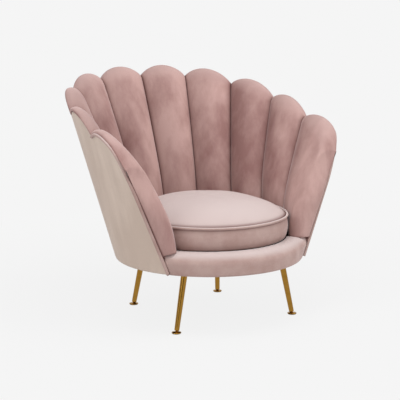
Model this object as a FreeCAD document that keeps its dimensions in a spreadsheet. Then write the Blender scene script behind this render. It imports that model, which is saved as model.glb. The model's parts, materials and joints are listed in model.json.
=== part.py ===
import FreeCAD, Part
import math
import os
import Sketcher

# Scallop back chair: a round base carries a plywood tub that flares up into ten padded channels with scalloped tips,
# with a loose round cushion in the well and four splayed metal legs. Millimetres; the floor is z = 0, the front
# faces -Y and x = 0 is the plane of symmetry. Places along the tub are counted in channels, u: 0 is the back's
# centre line and 5 the front edge of the arm on the +X side.

V = FreeCAD.Vector
doc = FreeCAD.newDocument("scallop_back_chair")
sheet = doc.addObject("Spreadsheet::Sheet", "Sizes")

SIZES = [
    ("fit_gap", 0.3, "gap between pieces that lie against each other"),
    ("base_y", -82.9, "base centre, in front of the middle of the chair's depth"),
    ("underside", 187, "height of the base's underside"),
    ("base_radius", 300, "outside of the upholstered base at its underside"),
    ("base_turn", 25, "degrees of the base circle that each channel takes"),
    ("rim_level", 600, "height at which the rim's plan is set out"),
    ("rim_back", 422, "rearmost point of the rim's plan behind the base centre"),
    ("back_radius", 800, "radius of the plan's flat arc behind the sitter"),
    ("back_turn", 5.8, "degrees that the flat arc turns on each side"),
    ("shoulder_radius", 351, "radius of the plan's shoulder arcs"),
    ("arm_flare", 5, "degrees by which the straight arms open towards the front"),
    ("channel_pitch", 160, "width of a channel along the rim's plan"),
    ("arm_extra", 22, "extra width of the arm channels, which wrap the front edge"),
    ("back_height", 770, "top of the two middle channels"),
    ("arm_height", 617, "top of the two arm channels"),
    ("scallop_rise", 36.5, "height of each scallop over its notches"),
    ("scallop_wrap", 15, "how far the channels roll down over the rim's outside"),
    ("seat_thickness", 54, "tub wall at the seat, outside to channel seam"),
    ("rim_thickness", 21, "tub wall at the rim, outside to channel seam"),
    ("crown", 35, "how far a channel's middle stands in from the seam line"),
    ("rim_crown", 30, "the same at the rim"),
    ("tip_depth", 17, "how far a channel's highest point lies inside the outer face"),
    ("cover_thickness", 5, "outer cover: fabric on wadding and lining"),
    ("board_thickness", 8, "curved plywood liner"),
    ("board_low_depth", 38, "depth of the liner's back behind the outer face at its foot"),
    ("rib_width", 18, "width of the upright ribs"),
    ("rib_tip", 7, "thickness of a rib's top end"),
    ("rib_clearance", 5.5, "room for the cover and the liner to bend past a rib's straight edges"),
    ("board_end", 4.74, "where the liner and posts end at the arms, in channels"),
    ("dust_cover", 1, "thickness of the dust cover"),
    ("plate_thickness", 4, "leg mounting plate"),
    ("plate_width", 58, "leg mounting plate"),
    ("base_board", 15, "thickness of the base board"),
    ("base_rim", 120, "width left of the base board round its opening"),
    ("rail_height", 30, "seat rails"),
    ("rail_inset", 50, "seat rails, in from the base's edge"),
    ("rail_width", 28, "seat rails"),
    ("shelf_thickness", 12, "ring that carries the channels' feet"),
    ("shelf_inset", 35, "that ring, in from the base's edge"),
    ("shelf_width", 27, "width of that ring"),
    ("shelf_turn", 99.6, "degrees that the ring runs to each side of the back"),
    ("strap_thickness", 1.5, "webbing"),
    ("strap_width", 50, "webbing"),
    ("strap_pitch", 92, "spacing of the webbing straps"),
    ("deck_pad", 7, "foam pad over the webbing"),
    ("deck_cover", 1.2, "cloth over the deck pad"),
    ("well_inset", 37.4, "well that the channels leave for the cushion, in from the base's edge"),
    ("well_offset", 13, "well's centre behind the base centre"),
    ("well_level", 345, "height up to which the channels press on the cushion"),
    ("cushion_gap", 2, "gap between the cushion's widest line and the channels"),
    ("cushion_seam", 75, "height of the cushion's upper seam over the deck"),
    ("cushion_height", 106, "height of the cushion's crown over the deck"),
    ("cushion_foot", 6, "height of the cushion's lower seam over the deck"),
    ("cushion_bulge", 8, "how far the cushion's side stands out past its seams"),
    ("side_bow", 78, "radius of the cushion's bowed side"),
    ("piping", 4, "radius of the cushion's piping"),
    ("welt", 5, "radius of the arm welts"),
    ("welt_lift", 2, "how much further out the welt lies where it crosses the arm's scallop"),
    ("apron_bow", 36, "radius of the apron's rolled top edge"),
    ("apron_foot", 5, "radius of the apron's lower edge"),
    ("leg_splay", 12, "degrees by which the legs lean out"),
    ("leg_top", 10.2, "leg radius at its plate"),
    ("leg_foot", 7.8, "leg radius at its foot"),
    ("leg_wall", 1.2, "wall of the leg tube"),
    ("leg_end", 9, "height of the leg's lower end"),
    ("front_leg_aside", 121.6, "front leg, in from the base's side"),
    ("front_leg_behind", 152.4, "front leg, in from the base's front"),
    ("front_leg_turn", -19, "direction in which the front leg leans, from +X"),
    ("back_leg_aside", 158.2, "back leg, in from the base's side"),
    ("back_leg_before", 122.3, "back leg, in from the base's back"),
    ("back_leg_turn", 55.6, "direction in which the back leg leans, from +X"),
    ("screw_pitch", 42, "spacing of the screws in a leg plate"),
    ("screw_radius", 2.5, "leg screw"),
    ("screw_head", 4.8, "leg screw"),
    ("screw_head_height", 2.5, "leg screw"),
    ("screw_length", 15, "leg screw under its head"),
    ("stud_radius", 4, "levelling foot"),
    ("stud_length", 30, "levelling foot"),
    ("insert_length", 12, "threaded insert in the leg's end"),
    ("foot_radius", 15, "levelling foot"),
    ("foot_edge", 2.4, "levelling foot's edge"),
    ("foot_dome", 2.2, "height of the levelling foot's domed top"),
    ("foot_crest", 6.2, "radius of the dome's flat middle"),
    ("glide_thickness", 1.6, "plastic glide under the foot"),
    ("glide_radius", 13.5, "plastic glide under the foot"),
]

# Sizes that follow from the ones above.
FOLLOWING = [
    ("plate_top", "=underside + plate_thickness"),
    ("board_bottom", "=plate_top + dust_cover"),
    ("board_top", "=board_bottom + base_board"),
    ("board_radius", "=(base_radius - cover_thickness) * cos(base_turn / 4 * 1 deg) - fit_gap * 2"),
    ("base_opening", "=base_radius - base_rim"),
    ("rail_outer", "=base_radius - rail_inset"),
    ("rail_inner", "=rail_outer - rail_width"),
    ("shelf_radius", "=base_radius - shelf_inset"),
    ("shelf_inner", "=shelf_radius - shelf_width"),
    ("well_radius", "=base_radius - well_inset"),
    ("front_leg_x", "=base_radius - front_leg_aside"),
    ("front_leg_y", "=front_leg_behind - base_radius"),
    ("back_leg_x", "=base_radius - back_leg_aside"),
    ("back_leg_y", "=base_radius - back_leg_before"),
    ("rail_top", "=board_top + rail_height"),
    ("shelf_top", "=rail_top + shelf_thickness"),
    ("strap_level", "=rail_top + fit_gap"),
    ("strap_reach", "=shelf_inner - 1.5"),
    ("pad_bottom", "=strap_level + 2 * strap_thickness + fit_gap"),
    ("pad_top", "=pad_bottom + deck_pad"),
    ("deck_top", "=pad_top + deck_cover"),
    ("channel_foot", "=shelf_top + fit_gap"),
    ("well_y", "=base_y + well_offset"),
    ("cushion_radius", "=well_radius - cushion_gap"),
    ("cushion_edge", "=cushion_radius - cushion_bulge"),
    ("cushion_bottom", "=shelf_top + fit_gap"),
    ("cushion_foot_level", "=cushion_bottom + cushion_foot"),
    ("cushion_foot_radius", "=cushion_edge - 12"),
    ("cushion_seam_level", "=cushion_bottom + cushion_seam"),
    ("cushion_top", "=cushion_bottom + cushion_height"),
    ("crown_rise", "=cushion_height - cushion_seam"),
    ("crown_bow", "=(cushion_edge ^ 2 + crown_rise ^ 2) / (2 * crown_rise)"),
    ("piping_ring", "=cushion_edge + piping + fit_gap * 2"),
    ("apron_inner", "=rail_outer + fit_gap"),
    ("apron_lap", "=board_radius + fit_gap"),
    ("apron_hem", "=base_radius - apron_foot"),
    ("apron_hem_level", "=underside + apron_foot"),
    ("apron_side", "=shelf_top - apron_bow"),
    ("apron_roll", "=base_radius - apron_bow"),
    ("leg_head", "=underside + plate_thickness / 3"),
    ("leg_length", "=(leg_head - leg_end) / cos(leg_splay * 1 deg)"),
    ("screw_hole", "=screw_radius + fit_gap"),
    ("insert_radius", "=leg_foot - leg_wall - fit_gap / 2"),
    ("stud_hole", "=stud_radius + fit_gap"),
    ("zero", "=0 * base_radius"),
]

for row, (name, value, meaning) in enumerate(SIZES, start=1):
    sheet.set(f"A{row}", meaning)
    sheet.set(f"B{row}", str(value))
    sheet.setAlias(f"B{row}", name)
for row, (name, formula) in enumerate(FOLLOWING, start=len(SIZES) + 1):
    sheet.set(f"B{row}", formula)
    sheet.setAlias(f"B{row}", name)
doc.recompute()


def size(name):
    """A value of the sheet as a plain number."""
    return float(sheet.get(name))


# What is written to parts/: the node's name and its document object.
nodes = {}


def keep(name, item):
    """Names a finished sub-part after its node."""
    item.Label = name
    nodes[name] = item
    return item


def bind(item, **expressions):
    """Ties an object's properties to the sheet: a name alone, or a formula of names."""
    for prop, text in expressions.items():
        item.setExpression(prop, text)
    return item


def solid(name, shape):
    """A sub-part whose free form is worked out by code rather than by one of the standard features."""
    item = doc.addObject("Part::Feature", name)
    item.Shape = shape
    return keep(name, item)


# The tub's outer face. Straight lines run up and out from the base circle to the rim's plan: a flat arc behind the
# sitter, two shoulder arcs, and straight arms that open a little towards the front.

CHANNELS = 5
BASE_Y = size("base_y")
UNDERSIDE = size("underside")
CHORD_STEP = 0.01


def rim_plan(u):
    """Point of the rim's plan at u channels from the back's centre line."""
    along = abs(u) * size("channel_pitch")
    past_arm = abs(u) - (CHANNELS - 1)
    if past_arm > 0:
        along += past_arm * size("arm_extra")
    back, shoulder = size("back_radius"), size("shoulder_radius")
    turn_back = math.radians(size("back_turn"))
    turn_arm = math.radians(90 - size("arm_flare"))
    flat_length = back * turn_back
    arm_start = flat_length + shoulder * (turn_arm - turn_back)
    middle = V(0, BASE_Y + size("rim_back") - back, 0)
    if along < flat_length:
        turn = along / back
        point = middle + V(math.sin(turn), math.cos(turn), 0) * back
    else:
        turn = min(turn_back + (along - flat_length) / shoulder, turn_arm)
        pivot = middle + V(math.sin(turn_back), math.cos(turn_back), 0) * (back - shoulder)
        point = pivot + V(math.sin(turn), math.cos(turn), 0) * shoulder
        point += V(math.cos(turn), -math.sin(turn), 0) * max(along - arm_start, 0)
    return V(math.copysign(point.x, u), point.y, 0)


def outer_face(u, height):
    """Point of the tub's outer face."""
    turn = math.radians(u * size("base_turn"))
    foot = V(math.sin(turn), math.cos(turn), 0) * size("base_radius") + V(0, BASE_Y, 0)
    share = (height - UNDERSIDE) / (size("rim_level") - UNDERSIDE)
    point = foot + (rim_plan(u) - foot) * share
    return V(point.x, point.y, height)


def inward(u, height):
    """Level direction square to the outer face, pointing into the tub."""
    run = outer_face(u + CHORD_STEP, height) - outer_face(u - CHORD_STEP, height)
    return V(-run.y, run.x, 0).normalize() * -1


def tub(u, height, depth):
    """Point at a depth behind the outer face."""
    return outer_face(u, height) + inward(u, height) * depth


# The rim slopes from the back down to the arms, in step with the plan.

RISE = size("scallop_rise")
RIM_SLOPE = (size("back_height") - size("arm_height")) / (rim_plan(0.5).y - rim_plan(CHANNELS - 0.5).y)
TOP = size("back_height") + 30


def notch_height(u):
    """Height of the sloping line that the notches between the scallops lie on."""
    return size("arm_height") - RISE + RIM_SLOPE * (rim_plan(u).y - rim_plan(CHANNELS - 0.5).y)


def seam_depth(u, height):
    """Depth of the channel seams behind the outer face: thick at the seat, thin at the rim."""
    share = (height - size("channel_foot")) / (notch_height(u) - size("channel_foot"))
    return size("seat_thickness") - (size("seat_thickness") - size("rim_thickness")) * share ** 2


def liner_depth(u, height):
    """Depth of the plywood liner's back behind the outer face."""
    low, rim = size("board_low_depth"), size("cover_thickness") + size("fit_gap")
    share = (height - size("board_top")) / (notch_height(u) - size("board_top"))
    return low + (rim - low) * min(share, 1)


def arc(start, middle, end):
    return Part.Arc(start, middle, end).toShape()


def line(start, end):
    return Part.LineSegment(start, end).toShape()


def closed(corners):
    """Closed outline of straight lines through its corners."""
    return Part.makePolygon(corners + corners[:1])


def skin(outlines):
    """Solid through outlines with as many corners each; the flat facets' diagonals rise towards the back."""
    facets = [Part.Face(closed(outlines[0])), Part.Face(closed(outlines[-1]))]
    for near, far in zip(outlines, outlines[1:]):
        for i in range(len(near)):
            a, b, c, d = near[i - 1], near[i], far[i], far[i - 1]
            if c.y < d.y:
                a, b, c, d = b, c, d, a
            facets += [Part.Face(closed([a, b, c])), Part.Face(closed([a, c, d]))]
    shell = Part.Shell(facets)
    shell.sewShape()
    whole = Part.Solid(shell)
    return whole if whole.Volume > 0 else whole.reversed()


def tub_outline(first, last, height, back_depth, front_depth):
    """Level outline of a slab of the tub, with two chords for each channel on either face."""
    seams = [k / 2 for k in range(-2 * CHANNELS, 2 * CHANNELS + 1) if first < k / 2 < last]
    stations = [first] + seams + [last]
    back = [tub(u, height, back_depth(u, height)) for u in stations]
    front = [tub(u, height, front_depth(u, height)) for u in reversed(stations)]
    return back + front


SLAB_STEPS = 6


def tub_slab(first, last, low, back_depth, front_depth):
    """Part of the tub between two depths, from a height to above the rim."""
    heights = [low] + [UNDERSIDE + (TOP - UNDERSIDE) * step / SLAB_STEPS for step in range(1, SLAB_STEPS + 1)]
    return skin([tub_outline(first, last, height, back_depth, front_depth) for height in heights])


CUTTER_REACH = 150


def scallop_cutter(k, drop):
    """What is cut off over the scallop between seams k and k + 1, lowered by a drop."""
    left = outer_face(k, notch_height(k) - drop)
    right = outer_face(k + 1, notch_height(k + 1) - drop)
    middle = (left + right) * 0.5
    middle.z = notch_height(k + 0.5) + RISE - drop
    left_top, right_top = V(left.x, left.y, TOP + 1), V(right.x, right.y, TOP + 1)
    face = Part.Face(Part.Wire([
        arc(left, middle, right), line(right, right_top), line(right_top, left_top), line(left_top, left)]))
    through = V(right.y - left.y, left.x - right.x, 0).normalize() * CUTTER_REACH
    face.translate(through * -1)
    return face.extrude(through * 2)


def scalloped(shape, drop, channels=range(-CHANNELS, CHANNELS)):
    for k in channels:
        shape = shape.cut(scallop_cutter(k, drop))
    return shape.Solids[0]


def constant(depth):
    return lambda u, height: depth


WRAP = size("scallop_wrap")
GAP = size("fit_gap")
COVER = size("cover_thickness")
BOARD = size("board_thickness")
BOARD_TOP = size("board_top")
BOARD_END = size("board_end")

# Outer cover: the smooth fabric and wadding stretched over the ribs, from the underside to its scalloped top seam.
solid("outer_cover", scalloped(tub_slab(-CHANNELS, CHANNELS, UNDERSIDE, constant(0), constant(COVER)), WRAP))

# Plywood liner: the curved sheet that the channels are pulled down onto, standing on the base board.


def liner_front(u, height):
    return liner_depth(u, height) + BOARD


def channel_back(u, height):
    return liner_front(u, height) + GAP * 2


liner = tub_slab(-BOARD_END, BOARD_END, BOARD_TOP + GAP, liner_depth, liner_front)
solid("shell_board", scalloped(liner, WRAP))

# Ribs: upright boards that stand on the base board between the cover and the liner, tapering towards the rim.


def rib(u):
    clear = COVER + size("rib_clearance")
    foot, crest = BOARD_TOP + GAP, notch_height(u)
    low = liner_depth(u, foot) - size("rib_clearance") - clear
    rim = liner_depth(u, crest) - size("rib_clearance") - clear
    top = foot + (crest - foot) * (low - size("rib_tip")) / (low - rim)
    way = inward(u, (foot + top) / 2)
    across = V(-way.y, way.x, 0) * size("rib_width")
    corners = [outer_face(u, height) + way * depth - across / 2 for height, depth in (
        (foot, clear), (top, clear), (top, clear + size("rib_tip")), (foot, clear + low))]
    return Part.Face(closed(corners)).extrude(across)


POST = BOARD_END - size("rib_width") / size("channel_pitch")
solid("rib_back", rib(0))
for side, sign in (("left", -1), ("right", 1)):
    solid(f"rib_{side}_shoulder", rib(sign * 1.75))
    solid(f"rib_{side}_arm", rib(sign * 3.4))
    solid(f"arm_post_{side}", rib(sign * POST))

# Channels: ten padded, fabric-covered rolls. Each one swells between its two seams, narrows towards the seat and
# ends in a rounded tip that rolls over the rim onto the outside.

SEAM_GAP = GAP / 2 / size("channel_pitch")
OUTSIDE = 60
TRUNK = (0.25, 0.5, 0.75, 1.0)
TIP_STEPS = 5
CROWN_CHORDS = 8


def well_depth(u, height):
    """Depth at which a channel's crown meets the round well of the cushion."""
    start, way = outer_face(u, height), inward(u, height)
    centre = V(0, size("well_y"), height)
    reach = (centre - start).dot(way)
    off = (centre - start - way * reach).Length
    return reach - math.sqrt(size("well_radius") ** 2 - off ** 2)


def pressed(point):
    """The point, pushed out to the round well where it would lie inside it."""
    centre = V(0, size("well_y"), point.z)
    reach = (point - centre).Length
    return centre + (point - centre) * max(1, size("well_radius") / reach)


def channel_outline(u_left, u_right, heights, back_depths, seam_depths, crown_depth):
    """Closed outline of a channel: its back, two seams and its bowed front, as chords of an arc."""
    u_middle = (u_left + u_right) / 2
    low_left, top_middle, low_right = heights
    back = [tub(u, z, d) for u, z, d in zip((u_left, u_middle, u_right), heights, back_depths)]
    seam_left = tub(u_left, low_left, seam_depths[0])
    seam_right = tub(u_right, low_right, seam_depths[1])
    crown = tub(u_middle, top_middle, crown_depth)
    return back + arc(seam_right, crown, seam_left).discretize(CROWN_CHORDS + 1)


def channel(k):
    """The channel between seams k and k + 1, on the +X side."""
    left, right = k + SEAM_GAP, k + 1 - SEAM_GAP
    middle = (left + right) / 2
    stations = (left, middle, right)
    arm_edge = COVER + GAP * 2
    ends_arm = k == CHANNELS - 1

    def seams(heights):
        depths = [seam_depth(u, z) for u, z in zip((left, right), (heights[0], heights[2]))]
        if ends_arm:
            depths[1] = arm_edge
        return depths

    foot, well = size("channel_foot"), size("well_level")
    flat = (0, 0, 0)
    outlines = []
    for height in (foot, well):
        level = (height,) * 3
        free = channel_outline(left, right, level, flat, seams(level), well_depth(middle, height))
        outlines.append([pressed(point) for point in free])
    for share in TRUNK:
        heights = [well + share * (notch_height(u) - well) for u in stations]
        crown = size("crown") + (size("rim_crown") - size("crown")) * share
        crown_depth = seam_depth(middle, heights[1]) + crown
        outlines.append(channel_outline(left, right, heights, flat, seams(heights), crown_depth))
    half_chord = (rim_plan(left) - rim_plan(right)).Length / 2
    circle = (half_chord ** 2 + RISE ** 2) / (2 * RISE)
    tip = size("tip_depth")
    rim_seams = seams([notch_height(u) for u in stations])
    rim_crown = size("rim_thickness") + size("rim_crown")
    for step in range(1, TIP_STEPS + 1):
        turn = math.radians(90) * step / (TIP_STEPS + 0.35)
        rise = RISE * math.sin(turn)
        width = math.sqrt(circle ** 2 - (circle - RISE + rise) ** 2) / half_chord
        thick = math.cos(turn) ** 0.6
        edges = [middle - width * (middle - left), middle + width * (right - middle)]
        heights = [notch_height(u) + rise for u in (edges[0], middle, edges[1])]
        if step == TIP_STEPS:
            heights = heights[1:2] * 3
        back = (tip * (1 - thick),) * 3
        front = [tip + (depth - tip) * thick for depth in rim_seams]
        outlines.append(channel_outline(*edges, heights, back, front, tip + (rim_crown - tip) * thick))
    roll = skin(outlines)

    # The liner, ribs and cover lie behind the channel, so their space is taken out below its rolled edge.
    frame_end = min(right + 0.1, BOARD_END + SEAM_GAP * 6)
    behind = tub_slab(left - 0.1, frame_end, BOARD_TOP + GAP, constant(-OUTSIDE), channel_back)
    cover = tub_slab(left - 0.1, right + 0.1, UNDERSIDE, constant(-OUTSIDE), constant(COVER + GAP))
    for frame in (behind, cover):
        roll = roll.cut(scalloped(frame, WRAP - GAP, [k]))
    return roll.Solids[0]


CHANNEL_NAMES = ("middle", "back", "shoulder", "side", "arm")
for k, name in enumerate(CHANNEL_NAMES):
    right_channel = channel(k)
    solid(f"channel_right_{name}", right_channel)
    solid(f"channel_left_{name}", right_channel.mirror(V(0, 0, 0), V(1, 0, 0)))

# Arm welts: fabric-covered cord in the seam between the outer cover and the arm channel, from the underside up the
# arm's front edge and over the arm's scallop to its first notch.


def welt_path():
    """Stations up the front edge and then over the scallop, proud of the outer face."""
    radius = size("welt")
    depth = -radius - GAP
    foot = UNDERSIDE + radius
    end = CHANNELS - radius / size("channel_pitch")
    shoulder = notch_height(end) - WRAP
    points = [tub(end, foot + (shoulder - foot) * share, depth) for share in (0, 0.25, 0.5, 0.75, 1)]
    half = (rim_plan(CHANNELS - 1) - rim_plan(CHANNELS)).Length / 2
    circle = (half ** 2 + RISE ** 2) / (2 * RISE)
    for share in (0.85, 0.65, 0.45, 0.25, 0.05, -0.15, -0.35, -0.55, -0.75, -0.95):
        u = CHANNELS - 0.5 + share / 2
        rise = math.sqrt(circle ** 2 - (share * half) ** 2) - circle + RISE
        points.append(tub(u, notch_height(u) + rise - WRAP, depth - size("welt_lift")))
    return points


def cord(points, radius, sides=8):
    """Round cord as rings of straight sides along a path."""
    outlines = []
    for i, point in enumerate(points):
        before, after = points[max(i - 1, 0)], points[min(i + 1, len(points) - 1)]
        way = (after - before).normalize()
        across = way.cross(V(0, 1, 0.3)).normalize()
        over = way.cross(across)
        ring = []
        for side in range(sides):
            turn = 2 * math.pi * (side + 0.5) / sides
            ring.append(point + across * (radius * math.cos(turn)) + over * (radius * math.sin(turn)))
        outlines.append(ring)
    return skin(outlines)


right_welt = cord(welt_path(), size("welt"))
solid("arm_welt_right", right_welt)
solid("arm_welt_left", right_welt.mirror(V(0, 0, 0), V(1, 0, 0)))


# Standard features, tied to the sheet.


def drum(name, radius, height, level, x="zero", y="base_y", sides=48):
    """Upright disc or drum with flat sides, each size a formula of names in the sheet."""
    item = doc.addObject("Part::Prism", name)
    item.Polygon = sides
    return bind(item, **{
        "Circumradius": formula(radius), "Height": formula(height), "Placement.Base.x": formula(x),
        "Placement.Base.y": formula(y), "Placement.Base.z": formula(level)})


def formula(text):
    """The words of a formula as the sheet's names."""
    words = text.split(" ")
    return " ".join(word if not word[0].isalpha() else f"Sizes.{word}" for word in words)


def cut(name, base, tool):
    item = doc.addObject("Part::Cut", name)
    item.Base, item.Tool = base, tool
    return item


def group(name, items):
    item = doc.addObject("Part::Compound", name)
    item.Links = items
    return item


# Leg screws: four wood screws through each leg plate into the base board.

LEGS = (("front_left", "front", -1), ("front_right", "front", 1), ("back_left", "back", -1),
        ("back_right", "back", 1))
SCREW_SIDES = 6
screws, screw_holes = [], []
for leg, end, sign in LEGS:
    for row in (-1, 1):
        for column in (-1, 1):
            tag = f"{leg}_{row + 2}{column + 2}"
            place = (f"{sign} * {end}_leg_x + {column / 2} * screw_pitch",
                     f"base_y + {end}_leg_y + {row / 2} * screw_pitch")
            shank = drum(f"shank_{tag}", "screw_radius", "screw_length", "underside", *place, SCREW_SIDES)
            head = drum(f"head_{tag}", "screw_head", "screw_head_height", "underside - screw_head_height",
                            *place, SCREW_SIDES)
            screw = doc.addObject("Part::Fuse", f"screw_{tag}")
            screw.Base, screw.Tool = head, shank
            screws.append(screw)
            screw_holes.append(drum(f"hole_{tag}", "screw_hole", "screw_length + plate_thickness",
                                    "underside - fit_gap", *place, SCREW_SIDES))
keep("leg_screws", group("leg_screw_group", screws))
holes = group("screw_holes", screw_holes)

# Base board: plywood disc with a large opening, and the black dust cover stapled to its underside.
disc = drum("board_disc", "board_radius", "base_board", "board_bottom")
opening = drum("board_opening", "base_opening", "base_board", "board_bottom")
keep("base_board", cut("base_board_drilled", cut("board_ring", disc, opening), holes))
dust_disc = drum("dust_disc", "board_radius", "dust_cover", "plate_top")
keep("dust_cover", cut("dust_cover_pierced", dust_disc, holes))

# Seat rails: four bent quarters of a ring that stand on the base board, glued end to end.


def sketch_on(body, name, plane):
    """Sketch on one of a body's own origin planes."""
    support = next(item for item in body.Origin.OriginFeatures if item.Role == plane)
    sketch = body.newObject("Sketcher::SketchObject", name)
    sketch.AttachmentSupport = [(support, "")]
    sketch.MapMode = "FlatFace"
    return sketch


def outline(sketch, corners):
    """Closed outline of straight lines through corners named in the sheet."""
    places = [V(size(across), size(level), 0) for across, level in corners]
    count = len(corners)
    for i in range(count):
        sketch.addGeometry(Part.LineSegment(places[i], places[(i + 1) % count]))
    for i, (across, level) in enumerate(corners):
        sketch.addConstraint(Sketcher.Constraint("Coincident", i, 2, (i + 1) % count, 1))
        for kind, name in (("DistanceX", across), ("DistanceY", level)):
            index = sketch.addConstraint(Sketcher.Constraint(kind, -1, 1, i, 1, size(name)))
            sketch.setExpression(f"Constraints[{index}]", f"Sizes.{name}")


def turned(name, y, corners, angle="360", facing=0):
    """Body turned about an upright axis; part turns lie evenly to both sides of the way it faces."""
    body = doc.addObject("PartDesign::Body", name)
    sketch = sketch_on(body, f"{name}_profile", "YZ_Plane")
    outline(sketch, corners)
    turn = body.newObject("PartDesign::Revolution", f"{name}_turn")
    turn.Profile = sketch
    turn.ReferenceAxis = (sketch, ["V_Axis"])
    turn.Midplane = True
    turn.setExpression("Angle", formula(angle))
    sketch.Visibility = False
    body.Placement = FreeCAD.Placement(V(0, 0, 0), FreeCAD.Rotation(V(0, 0, 1), facing))
    body.setExpression("Placement.Base.y", f"Sizes.{y}")
    return body


RAIL = [("rail_inner", "board_top"), ("rail_outer", "board_top"), ("rail_outer", "rail_top"),
        ("rail_inner", "rail_top")]
for name, facing in (("back", 0), ("left", 90), ("front", 180), ("right", 270)):
    keep(f"seat_rail_{name}", turned(f"rail_{name}", "base_y", RAIL, "89.9", facing))

# Shelf: plywood ring on the rails, open at the front, that the channels' feet stand on.
SHELF = [("shelf_inner", "rail_top"), ("shelf_radius", "rail_top"), ("shelf_radius", "shelf_top"),
         ("shelf_inner", "shelf_top")]
keep("shelf_ring", turned("shelf", "base_y", SHELF, "2 * shelf_turn"))

# Webbing: elastic straps stapled across the rails, the crosswise ones over the lengthwise ones.
reach = drum("strap_limit", "strap_reach", "4 * strap_thickness", "rail_top")
for name, level, along_x in (("lengthwise", "strap_level", False),
                             ("crosswise", "strap_level + strap_thickness", True)):
    straps = []
    for step in (-2, -1, 0, 1, 2):
        strap = doc.addObject("Part::Box", f"strap_{name}_{step + 3}")
        middle = f"{step} * strap_pitch - strap_width / 2"
        run = ("Length", "Width") if along_x else ("Width", "Length")
        across = ("y", "x") if along_x else ("x", "y")
        bind(strap, **{
            run[0]: formula("2 * strap_reach"), run[1]: formula("strap_width"), "Height": formula("strap_thickness"),
            f"Placement.Base.{across[1]}": formula("- strap_reach" + ("" if along_x else " + base_y")),
            f"Placement.Base.{across[0]}": formula(middle + (" + base_y" if along_x else "")),
            "Placement.Base.z": formula(level)})
        straps.append(strap)
    strap_group = group(f"strap_group_{name}", straps)
    trimmed = doc.addObject("Part::Common", f"straps_{name}")
    trimmed.Base, trimmed.Tool = strap_group, reach
    keep(f"webbing_{name}", trimmed)

# Deck: foam pad over the webbing and the cloth over it, which shows when the cushion is lifted.
keep("deck_pad", drum("deck_foam", "strap_reach", "deck_pad", "pad_bottom"))
keep("deck_cover", drum("deck_cloth", "shelf_inner - fit_gap", "deck_cover", "pad_top"))

# Front apron: padded, fabric-covered band round the front of the base, with a rolled top edge under the cushion.
APRON_STEPS = 16


def bend(start, end, radius, chords):
    """Chords of a bow from one corner of a profile to another, standing out to the right of the way."""
    half = (end - start).Length / 2
    side = V(start.y - end.y, end.x - start.x, 0).normalize()
    middle = (start + end) / 2 - side * (radius - math.sqrt(radius ** 2 - half ** 2))
    return arc(start, middle, end).discretize(chords + 1)


def corner(radius, level):
    return V(size(radius), size(level), 0)


def swung(profile, turn, y):
    """Corners of a profile, swung round an upright axis."""
    turn = math.radians(turn)
    return [V(p.x * math.sin(turn), y + p.x * math.cos(turn), p.y) for p in profile]


apron = bend(corner("apron_hem", "underside"), corner("base_radius", "apron_hem_level"), size("apron_foot"), 2)
apron += bend(corner("base_radius", "apron_side"), corner("apron_roll", "shelf_top"), size("apron_bow"), 4)
apron_turn = 180 - CHANNELS * size("base_turn") - 0.1
chord = 1 / math.cos(math.radians(apron_turn / APRON_STEPS))
for reach, level in (("apron_inner", "shelf_top"), ("apron_inner", "board_top"), ("apron_lap", "board_top"),
                     ("apron_lap", "underside")):
    apron.append(V(size(reach) * chord, size(level), 0))
turns = [180 + apron_turn * (2 * step / APRON_STEPS - 1) for step in range(APRON_STEPS + 1)]
solid("front_apron", skin([swung(apron, turn, BASE_Y) for turn in turns]))

# Seat cushion: loose and round, with a crowned top and a bowed side that draws in to its seams.
CUSHION_SIDES = 48
profile = [corner("cushion_foot_radius", "cushion_bottom")]
profile += bend(corner("cushion_edge", "cushion_foot_level"), corner("cushion_edge", "cushion_seam_level"),
                size("side_bow"), 4)
profile += bend(profile.pop(), corner("zero", "cushion_top"), size("crown_bow"), 5)[:-1]
turns = [360 * side / CUSHION_SIDES for side in range(CUSHION_SIDES)]
rings = [[V(p.x * math.sin(math.radians(turn)), size("well_y") + p.x * math.cos(math.radians(turn)), p.y)
          for turn in turns] for p in profile]
solid("seat_cushion", skin(rings))

# Piping: cord sewn into the cushion's upper seam, as a closed ring of straight lengths.
PIPING_TURNS = 48
PIPING_SIDES = 6
outlines = []
for step in range(PIPING_TURNS):
    turn = 2 * math.pi * step / PIPING_TURNS
    out = V(math.cos(turn), math.sin(turn), 0)
    ring = []
    for side in range(PIPING_SIDES):
        roll = 2 * math.pi * (side + 0.5) / PIPING_SIDES
        reach = size("piping_ring") + size("piping") * math.cos(roll)
        rise = V(0, size("well_y"), size("cushion_seam_level") + size("piping") * math.sin(roll))
        ring.append(out * reach + rise)
    outlines.append(closed(ring))
solid("cushion_piping", Part.makeLoft(outlines, True, True, True))

# Legs: tapered steel tubes welded to square plates, each with a threaded insert for its levelling foot.


LEG_SIDES = 16


def rod(name, point, way, radius, length):
    """Round bar from a point along a direction."""
    item = doc.addObject("Part::Prism", name)
    item.Polygon = LEG_SIDES
    item.Placement = FreeCAD.Placement(point, FreeCAD.Rotation(V(0, 0, 1), way))
    return bind(item, Circumradius=formula(radius), Height=formula(length))


def taper(name, start, end, start_radius, end_radius):
    """Round bar that narrows from one point to another."""
    way = FreeCAD.Rotation(V(0, 0, 1), end - start)
    rings = []
    for place, radius in ((start, start_radius), (end, end_radius)):
        turns = [2 * math.pi * side / LEG_SIDES for side in range(LEG_SIDES)]
        rings.append([place + way.multVec(V(math.cos(turn), math.sin(turn), 0)) * radius for turn in turns])
    item = doc.addObject("Part::Feature", name)
    item.Shape = skin(rings)
    return item


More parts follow.
